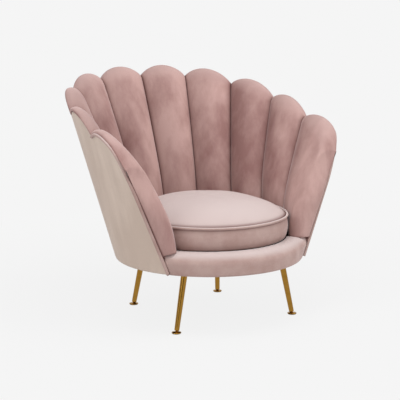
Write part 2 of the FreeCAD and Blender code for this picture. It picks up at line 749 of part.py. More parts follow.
LEG_WALL = size("leg_wall")
inserts = []
for leg, end, sign in LEGS:
    splay = math.radians(size("leg_splay"))
    lean = math.radians(size(f"{end}_leg_turn"))
    down = V(sign * math.sin(splay) * math.cos(lean), math.sin(splay) * math.sin(lean), -math.cos(splay))
    head = V(sign * size(f"{end}_leg_x"), BASE_Y + size(f"{end}_leg_y"), size("leg_head"))
    foot = head + down * size("leg_length")
    outside = taper(f"tube_outside_{leg}", head, foot, size("leg_top"), size("leg_foot"))
    inside = taper(f"tube_inside_{leg}", head, foot, size("leg_top") - LEG_WALL, size("leg_foot") - LEG_WALL)
    plate = doc.addObject("Part::Box", f"plate_{leg}")
    bind(plate, **{
        "Length": "Sizes.plate_width", "Width": "Sizes.plate_width", "Height": "Sizes.plate_thickness",
        "Placement.Base.x": formula(f"{sign} * {end}_leg_x - plate_width / 2"),
        "Placement.Base.y": formula(f"base_y + {end}_leg_y - plate_width / 2"),
        "Placement.Base.z": "Sizes.underside"})
    welded = doc.addObject("Part::Fuse", f"welded_{leg}")
    welded.Base, welded.Tool = cut(f"tube_{leg}", outside, inside), cut(f"drilled_{leg}", plate, holes)
    keep(f"leg_{leg}", welded)

    up = down * -1
    bush = rod(f"bush_{leg}", foot, up, "insert_radius", "insert_length")
    bore = rod(f"bore_{leg}", foot, up, "stud_hole", "insert_length")
    inserts.append(cut(f"insert_{leg}", bush, bore))

    # Levelling foot: threaded stud on a domed metal disc, with a plastic glide under it.
    rest = foot + down * ((foot.z - size("glide_thickness")) / math.cos(splay))
    level = V(0, 0, 1)
    edge = rest + level * size("foot_edge")
    stud_start = rest + up * (size("foot_edge") * 1.5 / math.cos(splay))
    stud = rod(f"stud_{leg}", stud_start, up, "stud_radius", "stud_length")
    disc = rod(f"disc_{leg}", rest, level, "foot_radius", "foot_edge")
    dome = taper(f"dome_{leg}", edge, edge + level * size("foot_dome"), size("foot_radius"), size("foot_crest"))
    metal_foot = doc.addObject("Part::MultiFuse", f"metal_foot_{leg}")
    metal_foot.Shapes = [disc, dome, stud]
    keep(f"levelling_foot_{leg}", metal_foot)
    keep(f"glide_{leg}", rod(f"glide_pad_{leg}", V(rest.x, rest.y, 0), level, "glide_radius", "glide_thickness"))
keep("foot_inserts", group("insert_group", inserts))

doc.recompute()

# Every object must have come out sound before anything is written.
for item in doc.Objects:
    if "Invalid" in item.State or "Error" in item.State:
        raise RuntimeError(f"{item.Name} did not build")
for name, item in nodes.items():
    if item.Shape.isNull() or not item.Shape.isValid():
        raise RuntimeError(f"{name} has no sound shape")

os.makedirs("parts", exist_ok=True)
for name, item in nodes.items():
    item.Shape.exportStep(f"parts/{name}.step")
print(len(nodes), "nodes")
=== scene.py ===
import json
import math

import bpy
import numpy as np
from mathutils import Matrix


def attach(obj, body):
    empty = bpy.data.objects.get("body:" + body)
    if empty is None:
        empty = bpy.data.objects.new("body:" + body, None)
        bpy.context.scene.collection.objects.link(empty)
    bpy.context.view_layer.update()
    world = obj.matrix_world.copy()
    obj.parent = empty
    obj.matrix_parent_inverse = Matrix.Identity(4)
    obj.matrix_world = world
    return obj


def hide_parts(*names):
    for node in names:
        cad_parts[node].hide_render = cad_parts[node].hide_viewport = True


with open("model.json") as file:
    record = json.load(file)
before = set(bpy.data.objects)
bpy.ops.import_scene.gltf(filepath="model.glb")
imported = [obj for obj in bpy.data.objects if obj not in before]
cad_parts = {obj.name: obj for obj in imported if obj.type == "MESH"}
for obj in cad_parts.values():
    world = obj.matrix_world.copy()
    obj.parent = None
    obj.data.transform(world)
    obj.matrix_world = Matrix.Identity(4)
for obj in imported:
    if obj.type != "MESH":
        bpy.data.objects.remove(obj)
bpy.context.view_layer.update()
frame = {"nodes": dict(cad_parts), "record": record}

# Studio: a pale seamless floor, a large soft box on each side, one overhead, and the camera at the
# photograph's angle. The floor fades into the same pale grey as the backdrop and keeps the chair's soft
# shadow.


def srgb(code):
    """Linear colour of an sRGB hex value such as b08a84."""
    parts = [int(code[i:i + 2], 16) / 255 for i in (0, 2, 4)]
    return [c / 12.92 if c <= 0.04045 else ((c + 0.055) / 1.055) ** 2.4 for c in parts] + [1.0]


def add(tree, kind, inputs=None, **settings):
    """Adds a shader node with its settings; inputs are values, or sockets to link from."""
    made = tree.nodes.new("ShaderNode" + kind)
    for name, value in settings.items():
        setattr(made, name, value)
    for name, value in (inputs or {}).items():
        if isinstance(value, bpy.types.NodeSocket):
            tree.links.new(value, made.inputs[name])
        else:
            made.inputs[name].default_value = value
    return made


def new_material(name):
    """Material without nodes yet, and its node tree."""
    material = bpy.data.materials.new(name)
    material.use_nodes = True
    material.node_tree.nodes.clear()
    return material, material.node_tree


scene = bpy.context.scene
scene.view_settings.view_transform = "Standard"

BACKDROP = srgb("f5f5f5")
AIR_STRENGTH = 0.62

world = bpy.data.worlds.new("studio_air")
scene.world = world
world.use_nodes = True
sky = world.node_tree
sky.nodes.clear()
path = add(sky, "LightPath")
seen = add(sky, "Math", {0: path.outputs["Is Camera Ray"], 1: path.outputs["Is Glossy Ray"]},
           operation="MAXIMUM")
air = add(sky, "Background", {"Color": srgb("f2f1f2"), "Strength": AIR_STRENGTH})
wall = add(sky, "Background", {"Color": BACKDROP, "Strength": 1.0})
both = add(sky, "MixShader", {0: seen.outputs[0], 1: air.outputs[0], 2: wall.outputs[0]})
add(sky, "OutputWorld", {"Surface": both.outputs[0]})

CAMERA_TURN = math.radians(-31.279)
CAMERA_RISE = math.radians(10.226)
CAMERA_DISTANCE = 4.0005
CAMERA_LENS = 112.05
AIM_ASIDE = -0.0199
AIM_Y = -0.0649
AIM_HEIGHT = 0.3665
target = np.array([math.cos(CAMERA_TURN) * AIM_ASIDE, math.sin(CAMERA_TURN) * AIM_ASIDE + AIM_Y, AIM_HEIGHT])
towards = np.array([math.sin(CAMERA_TURN) * math.cos(CAMERA_RISE),
                    -math.cos(CAMERA_TURN) * math.cos(CAMERA_RISE), math.sin(CAMERA_RISE)])
camera = bpy.data.objects.new("camera", bpy.data.cameras.new("camera"))
scene.collection.objects.link(camera)
camera.data.lens = CAMERA_LENS
camera.data.sensor_width = 36
camera.location = target + towards * CAMERA_DISTANCE
camera.rotation_euler = (math.pi / 2 - CAMERA_RISE, 0, CAMERA_TURN)
scene.camera = camera

# Matt white paper. Near the chair it still takes a faint shadow; further out it is the backdrop's grey.
FLOOR_RADIUS = 9.0
FLOOR_SIDES = 96
FLOOR_CLEAR = 0.5
FLOOR_FADE = 1.6
FADE_NEAR = 0.93
turns = np.linspace(0, 2 * math.pi, FLOOR_SIDES, endpoint=False)
ring = [(math.cos(turn) * FLOOR_RADIUS, math.sin(turn) * FLOOR_RADIUS, 0) for turn in turns]
floor_mesh = bpy.data.meshes.new("floor")
floor_mesh.from_pydata(ring, [], [range(FLOOR_SIDES)])
floor = bpy.data.objects.new("floor", floor_mesh)
scene.collection.objects.link(floor)
paper, tree = new_material("white_paper_floor")
place = add(tree, "TexCoord")
reach = add(tree, "VectorMath", {0: place.outputs["Object"]}, operation="LENGTH")
fade = add(tree, "MapRange", {"Value": reach.outputs["Value"], "From Min": FLOOR_CLEAR,
                              "From Max": FLOOR_FADE, "To Min": FADE_NEAR}, interpolation_type="SMOOTHSTEP")
matt = add(tree, "BsdfDiffuse", {"Color": srgb("dcdcdc")})
glow = add(tree, "Emission", {"Color": BACKDROP, "Strength": 1.0})
rays = add(tree, "LightPath")
show = add(tree, "Math", {0: rays.outputs["Is Camera Ray"], 1: rays.outputs["Is Glossy Ray"]},
           operation="MAXIMUM")
faded = add(tree, "Math", {0: fade.outputs["Result"], 1: show.outputs[0]}, operation="MULTIPLY")
surface = add(tree, "MixShader", {0: faded.outputs[0], 1: matt.outputs[0], 2: glow.outputs[0]})
add(tree, "OutputMaterial", {"Surface": surface.outputs[0]})
floor_mesh.materials.append(paper)


def soft_box(name, place, aim, width, height, power):
    """Rectangular area light that faces a point."""
    lamp = bpy.data.lights.new(name, "AREA")
    lamp.shape = "RECTANGLE"
    lamp.size, lamp.size_y = width, height
    lamp.energy = power
    holder = bpy.data.objects.new(name, lamp)
    scene.collection.objects.link(holder)
    holder.location = place
    way = np.array(aim) - np.array(place)
    holder.rotation_euler = (math.atan2(math.hypot(way[0], way[1]), -way[2]), 0, math.atan2(-way[0], way[1]))


SEAT = (0.0, -0.05, 0.4)
soft_box("box_right", (1.9, -2.4, 1.8), SEAT, 1.5, 1.6, 34)
soft_box("box_left", (-2.6, -0.9, 1.4), SEAT, 1.6, 1.8, 20)
soft_box("box_top", (-0.2, -0.6, 2.7), SEAT, 1.8, 1.4, 40)

# Matt black cards round the set give the polished legs their dark streaks. Only reflections show them.
CARD_FOOT = 0.02
CARD_TOP = 2.2
card_paint, tree = new_material("black_card")
black = add(tree, "BsdfDiffuse", {"Color": srgb("101010")})
add(tree, "OutputMaterial", {"Surface": black.outputs[0]})
for name, x, y, half in (("card_front", -2.5, -4.15, 0.75), ("card_right", 2.3, -1.2, 0.4),
                         ("card_side", -2.4, 0.2, 0.4)):
    away = math.hypot(x, y)
    dx, dy = -y / away * half, x / away * half
    corners = [(x - dx, y - dy, CARD_FOOT), (x + dx, y + dy, CARD_FOOT), (x + dx, y + dy, CARD_TOP),
               (x - dx, y - dy, CARD_TOP)]
    card_mesh = bpy.data.meshes.new(name)
    card_mesh.from_pydata(corners, [], [(0, 1, 2, 3)])
    card = bpy.data.objects.new(name, card_mesh)
    scene.collection.objects.link(card)
    card_mesh.materials.append(card_paint)
    card.visible_camera = card.visible_diffuse = card.visible_shadow = False

# Tub: every upholstered piece follows one flaring form. Straight lines run up and out from the round base
# to the rim's plan, a flat arc behind the sitter, two shoulder arcs and straight arms. Places along it are
# counted in channels: 0 is the back's centre line and 5 the front edge of the arm on the +X side.

BASE_Y = -0.0829
UNDERSIDE = 0.187
BASE_RADIUS = 0.300
BASE_TURN = math.radians(25)
RIM_LEVEL = 0.600
RIM_BACK = 0.422
BACK_RADIUS = 0.800
BACK_TURN = math.radians(5.8)
SHOULDER_RADIUS = 0.351
ARM_TURN = math.radians(85)
PITCH = 0.160
ARM_EXTRA = 0.022
CHANNELS = 5
BACK_HEIGHT = 0.770
ARM_HEIGHT = 0.617
RISE = 0.0365
CORNER_START = 4.72
CORNER_DROP = 0.034


def rim_plan(u):
    """Plan of the rim, u channels from the back's centre line."""
    u = np.asarray(u, float)
    along = np.abs(u) * PITCH + np.maximum(np.abs(u) - (CHANNELS - 1), 0) * ARM_EXTRA
    flat = BACK_RADIUS * BACK_TURN
    arm_start = flat + SHOULDER_RADIUS * (ARM_TURN - BACK_TURN)
    behind = along < flat
    turn = np.where(behind, along / BACK_RADIUS,
                    np.minimum(BACK_TURN + (along - flat) / SHOULDER_RADIUS, ARM_TURN))
    radius = np.where(behind, BACK_RADIUS, SHOULDER_RADIUS)
    shift = np.where(behind, 0, BACK_RADIUS - SHOULDER_RADIUS)
    straight = np.maximum(along - arm_start, 0)
    x = math.sin(BACK_TURN) * shift + np.sin(turn) * radius + np.cos(turn) * straight
    y = (BASE_Y + RIM_BACK - BACK_RADIUS + math.cos(BACK_TURN) * shift + np.cos(turn) * radius
         - np.sin(turn) * straight)
    return np.stack([np.where(u < 0, -x, x), y], -1)


def outer_face(u, z):
    """Point of the tub's outer face."""
    u, z = np.broadcast_arrays(np.asarray(u, float), np.asarray(z, float))
    turn = u * BASE_TURN
    foot = np.stack([np.sin(turn) * BASE_RADIUS, np.cos(turn) * BASE_RADIUS + BASE_Y], -1)
    share = ((z - UNDERSIDE) / (RIM_LEVEL - UNDERSIDE))[..., None]
    return np.concatenate([foot + (rim_plan(u) - foot) * share, z[..., None]], -1)


def inward(u, z):
    """Level direction square to the outer face, into the tub."""
    run = outer_face(u + 0.01, z) - outer_face(u - 0.01, z)
    way = np.stack([run[..., 1], -run[..., 0], np.zeros(run.shape[:-1])], -1)
    return way / np.linalg.norm(way, axis=-1, keepdims=True)


def tub(u, z, depth):
    """Point at a depth behind the outer face."""
    u, z, depth = np.broadcast_arrays(np.asarray(u, float), np.asarray(z, float), np.asarray(depth, float))
    return outer_face(u, z) + inward(u, z) * depth[..., None]


RIM_SLOPE = (BACK_HEIGHT - ARM_HEIGHT) / (rim_plan(0.5)[1] - rim_plan(CHANNELS - 0.5)[1])


def notch_height(u):
    """Sloping line that the notches between the scallops lie on."""
    return ARM_HEIGHT - RISE + RIM_SLOPE * (rim_plan(u)[..., 1] - rim_plan(CHANNELS - 0.5)[1])


def scallop_height(u):
    """Scalloped outline of the rim: one arc over each channel."""
    u = np.asarray(u, float)
    k = np.clip(np.floor(u), -CHANNELS, CHANNELS - 1)
    half = np.linalg.norm(rim_plan(k) - rim_plan(k + 1), axis=-1) / 2
    circle = (half ** 2 + RISE ** 2) / (2 * RISE)
    across = np.clip(2 * (u - k) - 1, -1, 1) * half
    corner = np.clip((np.abs(u) - CORNER_START) / (CHANNELS - CORNER_START), 0, 1)
    return notch_height(u) + np.sqrt(circle ** 2 - across ** 2) - circle + RISE - CORNER_DROP * corner ** 2.5


# Velvet: short-pile polyester velvet, woven and then brushed, covers every upholstered piece. The pile is
# dark seen end-on and pale at a glancing angle, and handling leaves paler and darker patches in it.

# The pile's tufts are about 0.3 mm apart; they are drawn 0.9 mm apart so that they show.
PILE = 0.0009
PATCH = 0.055


def velvet(name, shade, tone, top, bloom, streak=3.0):
    """Velvet between a darker and a lighter tone; painted highlight on top, painted flank light, painted
    crease shade.
    """
    material, tree = new_material(name)
    place = add(tree, "TexCoord")
    brushed = add(tree, "Mapping", {"Vector": place.outputs["Object"], "Scale": (1, 1, 1 / streak)})
    patches = add(tree, "TexNoise", {"Vector": brushed.outputs[0], "Scale": 1 / PATCH, "Detail": 4,
                                     "Roughness": 0.6})
    broad = add(tree, "TexNoise", {"Vector": brushed.outputs[0], "Scale": 0.25 / PATCH, "Detail": 2})
    blend = add(tree, "Math", {0: patches.outputs["Fac"], 1: broad.outputs["Fac"]}, operation="ADD")
    spread = add(tree, "MapRange", {"Value": blend.outputs[0], "From Min": 0.76, "From Max": 1.24})
    pile = add(tree, "TexNoise", {"Vector": place.outputs["Object"], "Scale": 1 / PILE, "Detail": 2,
                                  "Roughness": 0.7})
    tint = add(tree, "Mix", {"Factor": spread.outputs[0], "A": srgb(shade), "B": srgb(tone)},
               data_type="RGBA")
    fleck = add(tree, "MapRange", {"Value": pile.outputs["Fac"], "From Min": 0.3, "From Max": 0.7,
                                   "To Min": 0.9, "To Max": 1.08})
    # Painted highlight: faces turned up take the paler top colour, as if lit from above.
    shape = add(tree, "NewGeometry")
    facing = add(tree, "SeparateXYZ", {0: shape.outputs["Normal"]})
    highlight_share = add(tree, "MapRange", {"Value": facing.outputs["Z"], "From Min": 0.3, "From Max": 1.0},
                 interpolation_type="SMOOTHSTEP")
    top_highlight = add(tree, "Mix", {"Factor": highlight_share.outputs[0], "A": tint.outputs["Result"], "B": srgb(top)},
                data_type="RGBA")
    # Painted light and shade: a per-point value lightens one flank of each channel and darkens the other.
    flank_light = add(tree, "Attribute", attribute_name="flank_light")
    flank_light_scale = add(tree, "MapRange", {"Value": flank_light.outputs["Fac"], "From Min": -1, "To Min": 0.86,
                                          "To Max": 1.14})
    shown = add(tree, "Math", {0: flank_light_scale.outputs[0], 1: fleck.outputs[0]}, operation="MULTIPLY")
    colour = add(tree, "VectorMath", {0: top_highlight.outputs["Result"], "Scale": shown.outputs[0]},
                 operation="SCALE")
    bump = add(tree, "Bump", {"Height": pile.outputs["Fac"], "Strength": 0.35, "Distance": PILE * 0.4})
    # Painted shade: a per-point value darkens creases, seams and hidden backs to deep brown and dims their
    # sheen.
    crease_shade = add(tree, "Attribute", attribute_name="crease_shade")
    shaded_tint = add(tree, "Mix", {"Factor": crease_shade.outputs["Fac"], "A": colour.outputs[0], "B": srgb("552d28")},
               data_type="RGBA")
    bloomed = add(tree, "MapRange", {"Value": crease_shade.outputs["Fac"], "To Min": 0.5, "To Max": 0.03})
    cloth = add(tree, "BsdfPrincipled", {
        "Base Color": shaded_tint.outputs["Result"], "Roughness": 0.85, "IOR": 1.45, "Specular IOR Level": 0.08,
        "Sheen Weight": bloomed.outputs[0], "Sheen Roughness": 0.3, "Sheen Tint": srgb(bloom),
        "Normal": bump.outputs[0]})
    add(tree, "OutputMaterial", {"Surface": cloth.outputs[0]})
    return material


# Outer cover: one smooth panel of velvet on thin wadding, stretched over the ribs from under the base to the
# scalloped seam below the rim. It is pulled tight and tacked, so small pleats run down from each notch.

COVER = 0.005
COVER_COLUMNS = 36
COVER_ROWS = 44
COVER_END = 4.985
SEAM_SHADE_FROM = 4.95
WRAP = 0.015
TURN_IN = 0.022
HEM = 0.0075
HEM_GAP = 0.0005
PLEAT = 0.0016
PLEAT_REACH = 0.016
PLEAT_START = 0.004
PLEAT_COUNT = 7

# Its copy of the velvet is the palest, with long faint streaks: painted light, since the panel faces the
# light.
outer_velvet = velvet("polyester_velvet_outside", "c3b1a4", "d3c2b5", "d3c2b5", "fff4ee", streak=6.0)


def skin_mesh(name, rings, caps=True):
    """Closed mesh through rings of as many points each, its two end rings capped."""
    count, size = rings.shape[:2]
    faces = []
    for i in range(count - 1):
        for j in range(size):
            k = (j + 1) % size
            faces.append((i * size + j, (i + 1) * size + j, (i + 1) * size + k, i * size + k))
    if caps:
        faces.append(tuple(range(size)))
        faces.append(tuple(range((count - 1) * size, count * size))[::-1])
    mesh = bpy.data.meshes.new(name)
    mesh.from_pydata(rings.reshape(-1, 3).tolist(), [], faces)
    mesh.validate()
    mesh.shade_smooth()
    piece = bpy.data.objects.new(name, mesh)
    scene.collection.objects.link(piece)
    return piece


def pleats(u, z, top):
    """Small gathers that fan out below each notch of the seam."""
    lift = np.zeros(np.broadcast(u, z).shape)
    for k in range(-CHANNELS + 1, CHANNELS):
        across = (u - k) * PITCH
        down = top - z
        reach = np.hypot(across, down)
        fan = np.cos(np.arctan2(across, down + PLEAT_START) * PLEAT_COUNT)
        lift += PLEAT * fan * np.exp(-(reach / PLEAT_REACH) ** 2) * np.clip(reach / PLEAT_START, 0, 1)
    return lift


stations = np.linspace(-COVER_END, COVER_END, 2 * CHANNELS * COVER_COLUMNS + 1)
top = scallop_height(stations) - WRAP
u = stations[:, None]
rows = np.linspace(0, 1, COVER_ROWS)[None, :] ** 0.9
foot = UNDERSIDE + HEM_GAP + HEM
z = foot + (top[:, None] - 0.003 - foot) * rows
face = tub(u, z, -pleats(u, z, top[:, None]))
hem_turn = np.radians([90, 67, 45, 22])[None, :]
hem = tub(u, UNDERSIDE + HEM_GAP + HEM * (1 - np.sin(hem_turn)), HEM * (1 - np.cos(hem_turn)))
under = tub(u, UNDERSIDE + HEM_GAP, np.array([[TURN_IN, 0.014]]))
edge = tub(u, top[:, None] + np.array([[-0.0012, -0.0004, -0.0004]]), np.array([[0.0006, 0.0022, COVER]]))
back = tub(u, UNDERSIDE + 0.003 + (top[:, None] - 0.004 - UNDERSIDE) * np.array([[0.95, 0.5, 0.0]]), COVER)
back_foot = tub(u, UNDERSIDE + 0.003, np.array([[TURN_IN]]))
cover = skin_mesh("velvet_outer_cover", np.concatenate([under, hem, face, edge, back, back_foot], 1))
# Painted shade: the cover darkens next to its seam with the arm welts.
seam_shade = np.clip((np.abs(u) - SEAM_SHADE_FROM) / 0.03, 0, 1) * np.ones(len(cover.data.vertices) // len(u))
cover.data.attributes.new("crease_shade", "FLOAT", "POINT").data.foreach_set("value", seam_shade.ravel())
cover.data.materials.append(outer_velvet)
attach(cover, "chair")
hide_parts("outer_cover")

# Channels: ten padded rolls of foam and wadding under velvet, sewn down in deep seams between them. Each
# swells between its seams, is drawn in round the seat, and rolls over the rim to the scalloped outer seam.

SEAM_GAP = 0.0005
SEAT_THICKNESS = 0.054
RIM_THICKNESS = 0.021
CREASE = 0.006
CROWN = 0.035
RIM_CROWN = 0.031
TIP_DEPTH = 0.019
LIP = 0.0025
BOARD_TOP = 0.207
LINER_FOOT = 0.046
LINER_TIP = 0.0136
ARM_DROP = 0.044
WELL_RADIUS = 0.2626
WELL_Y = BASE_Y + 0.013
CHANNEL_COLUMNS = 44
TRUNK_ROWS = 56
EDGE_START = 0.62
WRAP_FORWARD = 0.030
WRAP_FOOT = 0.005
WRAP_FADE = 0.16
SLIM_FROM = 0.33
PRESS_TOP = 0.45
PRESS_ROUND = 0.02
TOP_ROWS = 26
DECK = 0.2493
FLAT_HALF = 0.48
FRONT_ROUND = (0.012, 0.036)
BACK_ROUND = (0.007, 0.005)
BACK_SHARES = (0.97, 0.8, 0.6, 0.4, 0.2, 0.0)
ARM_CHANNELS = (-CHANNELS, CHANNELS - 1)

# One flank of each channel is painted lighter and the other darker, as painted light and shade.
flute_velvet = velvet("polyester_velvet_channels", "8a6864", "af908a", "ac918c", "fff4f4")


def seam_depth(u, z):
    """Depth of the seams between channels: thick at the seat, thin at the rim."""
    share = (z - DECK) / (notch_height(u) - DECK)
    return SEAT_THICKNESS - (SEAT_THICKNESS - RIM_THICKNESS) * share ** 2


def liner_front(u, z):
    """Depth of the plywood liner's front, which the channels lie on."""
    share = (z - BOARD_TOP) / (notch_height(u) - BOARD_TOP)
    return LINER_FOOT + (LINER_TIP - LINER_FOOT) * share


def well_depth(u, z):
    """Depth at which a channel's crown meets the round well of the cushion."""
    start, way = outer_face(u, z), inward(u, z)
    to_centre = np.stack([-start[..., 0], WELL_Y - start[..., 1]], -1)
    ahead = (to_centre * way[..., :2]).sum(-1)
    aside = np.linalg.norm(to_centre - way[..., :2] * ahead[..., None], axis=-1)
    return ahead - np.sqrt(WELL_RADIUS ** 2 - aside ** 2)


def soft_min(a, b, radius):
    """The smaller of two lengths, rounded where they cross."""
    mix = np.clip(0.5 + 0.5 * (b - a) / radius, 0, 1)
    return b + (a - b) * mix - radius * mix * (1 - mix)


def crown_depth(u, z):
    """Depth of a channel's padding at its fullest: the crown, or the round well where the cushion presses."""
    share = np.clip((z - SLIM_FROM) / (notch_height(u) - SLIM_FROM), 0, 1)
    full = seam_depth(u, z) + CROWN + (RIM_CROWN - CROWN) * share
    return soft_min(full, well_depth(u, np.minimum(z, PRESS_TOP)), PRESS_ROUND)


def channel_place(k, s):
    """Place along the tub of s, which runs from -1 at a channel's left seam to 1 at its right one."""
    u = np.clip(k + (s + 1) / 2, k + SEAM_GAP, k + 1 - SEAM_GAP)
    if k not in ARM_CHANNELS:
        return u
    free = s if k > 0 else -s
    bend = (free - EDGE_START) / (1 - EDGE_START)
    past = np.where(bend < 0, FLAT_HALF * free / EDGE_START, FLAT_HALF + (0.5 - FLAT_HALF - SEAM_GAP) * bend)
    return np.where(free > 0, k + 0.5 + (past if k > 0 else -past), u)


def channel_front(k, s, z):
    """Point on a channel's padded front."""
    left, right, middle = k + SEAM_GAP, k + 1 - SEAM_GAP, k + 0.5
    a, b = tub(left, z, seam_depth(left, z) - CREASE), tub(right, z, seam_depth(right, z) - CREASE)
    crown = tub(middle, z, crown_depth(middle, z))
    across = s[..., None]
    front = (a + b) / 2 + (b - a) / 2 * across + (crown - (a + b) / 2) * (1 - np.abs(across) ** 2.3) ** 0.6
    if k not in ARM_CHANNELS:
        return front

    # An arm channel has no seam at its free edge: its padding wraps round the arm's front to the welt.
    free = s if k > 0 else -s
    u = channel_place(k, s)
    turn = math.pi * np.clip((free - EDGE_START) / (1 - EDGE_START), 0, 1)
    way = inward(u, z)
    forward = np.stack([way[..., 1], -way[..., 0], way[..., 2]], -1) * (-1 if k > 0 else 1)
    level = np.clip((z - DECK) / WRAP_FOOT, 0, 1)
    below = np.clip((scallop_height(CHANNELS) - z) / WRAP_FADE, 0, 1)
    bulge = WRAP_FORWARD * np.sin(turn) * np.sqrt(1 - (1 - level) ** 2) * below * below * (3 - 2 * below)
    padded = tub(u, z, crown_depth(u, z) * (1 + np.cos(turn)) / 2) + forward * bulge[..., None]
    return np.where(free[..., None] > 0, padded, front)


def channel_piece(k, name):
    """One channel: each column runs up its front, over the rim, down to the outer seam and back inside."""
    t = np.linspace(-1, 1, CHANNEL_COLUMNS + 1)
    s = np.sin(t * math.pi / 2)[:, None]
    u = channel_place(k, s)
    top = scallop_height(u)
    body = 1 - s ** 2
    front_round = FRONT_ROUND[0] + FRONT_ROUND[1] * body ** 0.8
    back_round = BACK_ROUND[0] + BACK_ROUND[1] * body
    edge = np.clip(s if k > 0 else -s, 0, 1) if k in ARM_CHANNELS else 0 * s
    foot = DECK - ARM_DROP * edge * edge * (3 - 2 * edge)
    rows = np.linspace(0, 1, TRUNK_ROWS)[None, :-1]
    z = foot + (top - front_round - foot) * rows
    trunk = channel_front(k, np.broadcast_to(s, z.shape), z)
    turn = np.linspace(0, math.pi, TOP_ROWS)[None, :]
    rounding = np.where(turn < math.pi / 2, front_round, back_round)
    z = top - rounding * (1 - np.sin(turn))
    ahead = channel_front(k, np.broadcast_to(s, z.shape), z)
    behind = tub(u, z, -LIP)
    thick = np.linalg.norm(ahead - behind, axis=-1)
    apex = 1 - TIP_DEPTH / np.maximum(thick[:, TOP_ROWS // 2][:, None], TIP_DEPTH * 1.7)
    cosine = np.cos(turn)
    across = np.where(turn < math.pi / 2, apex * (1 - cosine), apex - (1 - apex) * cosine)
    over = ahead + (behind - ahead) * across[..., None]
    low = top - WRAP
    outside = tub(u, low + np.array([[0.004, 0.0018, 0.0004]]), np.array([[-LIP, -LIP * 0.6, 0.0012]]))
    tuck = tub(u, low + np.array([[0.0004]]), np.array([[COVER + 0.001]]))
    back_z = foot + (low - foot) * np.array([BACK_SHARES])
    back = tub(u, back_z, np.maximum(liner_front(u, back_z), COVER + 0.001))
    rings = np.concatenate([trunk, over, outside, tuck, back], 1)
    roll = skin_mesh(name, rings)

    # Painted shade darkens its seams and its hidden back; painted light and shade lighten one flank and
    # darken the other.
    seam_shade = np.where(edge > 0, 0.9 * np.clip((edge - 0.96) / 0.03, 0, 1), np.abs(s) ** 22)
    crease_shade = np.broadcast_to(seam_shade, rings.shape[:2]).copy()
    crease_shade[:, trunk.shape[1] + TOP_ROWS // 2:] *= 0.3
    crease_shade[:, -len(BACK_SHARES) - 2:] = np.where(edge > 0.9, 0, 1)
    roll.data.attributes.new("crease_shade", "FLOAT", "POINT").data.foreach_set("value", crease_shade.ravel())
    flank_light = np.broadcast_to(np.where(edge > 0, 0.7, np.sin(s * math.pi / 2)), rings.shape[:2]).copy()
    roll.data.attributes.new("flank_light", "FLOAT", "POINT").data.foreach_set("value", flank_light.ravel())
    return roll


CHANNEL_NAMES = ("middle", "back", "shoulder", "side", "arm")
for k in range(-CHANNELS, CHANNELS):
    side = "left" if k < 0 else "right"
    node = f"channel_{side}_{CHANNEL_NAMES[-k - 1 if k < 0 else k]}"
    roll = channel_piece(k, "padded_" + node)
    roll.data.materials.append(flute_velvet)
    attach(roll, "chair")
    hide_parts(node)

# Arm welts: a cord covered in velvet, sewn into the seam between outer cover and arm channel. It runs up
# each arm's front edge from the base and over the arm's scallop to the first notch.

WELT = 0.0050
WELT_END = 0.012
WELT_TURN = 0.035
CORD_SIDES = 14

# Welts, apron and cushion take a paler copy of the velvet with no streaks: painted light, as they face the
# lamps.
seat_velvet = velvet("polyester_velvet_seat", "a78a83", "b9a099", "c1b2af", "fff6f5", streak=1.0)


def tube(name, points, radius, aside, closed=False):
    """Round cord along points; aside is a direction that it never runs in."""
    points = np.asarray(points, float)
    if closed:
        way = np.roll(points, -1, 0) - np.roll(points, 1, 0)
    else:
        way = np.gradient(points, axis=0)
    way /= np.linalg.norm(way, axis=1, keepdims=True)
    across = np.cross(way, aside)
    across /= np.linalg.norm(across, axis=1, keepdims=True)
    over = np.cross(way, across)
    turn = np.linspace(0, 2 * math.pi, CORD_SIDES, endpoint=False)
    rings = (points[:, None] + radius * (across[:, None] * np.cos(turn)[None, :, None]
                                         + over[:, None] * np.sin(turn)[None, :, None]))
    if closed:
        rings = np.concatenate([rings, rings[:1]])
    return skin_mesh(name, rings, caps=not closed)


for side, sign in (("left", -1), ("right", 1)):
    shoulder = notch_height(CHANNELS) - CORNER_DROP - WRAP
    rise = np.linspace(0, 1, 40)[:-1]
    level = UNDERSIDE + 0.003 + (shoulder - WELT_TURN - UNDERSIDE) * rise
    up = tub(sign * (CHANNELS - WELT_END), level, -WELT * 0.75)
    along = CHANNELS - WELT_END - np.linspace(0.06, 0.965, 44)
    over = tub(sign * along, scallop_height(along) - WRAP, -WELT * 0.6)
    points = np.concatenate([up, over])
    for _ in range(14):
        points[1:-1] = (points[:-2] + points[1:-1] * 2 + points[2:]) / 4
    welt = tube(f"velvet_arm_welt_{side}", points, WELT, (1, 0, 0))
    welt.data.materials.append(seat_velvet)
    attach(welt, "chair")
    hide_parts(f"arm_welt_{side}")

# Front apron: the padded band round the front of the base, velvet over foam, between the two arm welts. Its
# top edge rolls softly inwards under the cushion.

APRON_COLUMNS = 90
LIP_RADIUS = 0.2560
LIP_CLEAR = 0.003
END_LENGTH = 0.040


def round_edge(centre, radius, start, end, count):
    """Points of an arc in a profile of radius and height."""
    turn = np.radians(np.linspace(start, end, count))
    return np.stack([centre[0] + radius * np.cos(turn), centre[1] + radius * np.sin(turn)], -1)


profile = np.concatenate([
    [(0.270, 0.1875), (0.286, 0.1872)],
    round_edge((0.2925, 0.1947), 0.0075, -90, 0, 7),
    round_edge((0.2665, 0.2215), 0.0335, 0, 90, 16),
    [(0.2610, 0.2550), (0.2545, 0.2546), (0.2522, 0.2530), (0.2514, 0.2506), (0.2510, 0.2499),
     (0.2510, 0.2080), (0.270, 0.2080)]])
turns = math.pi + np.linspace(-1, 1, APRON_COLUMNS) * (math.pi - CHANNELS * BASE_TURN - 0.004)

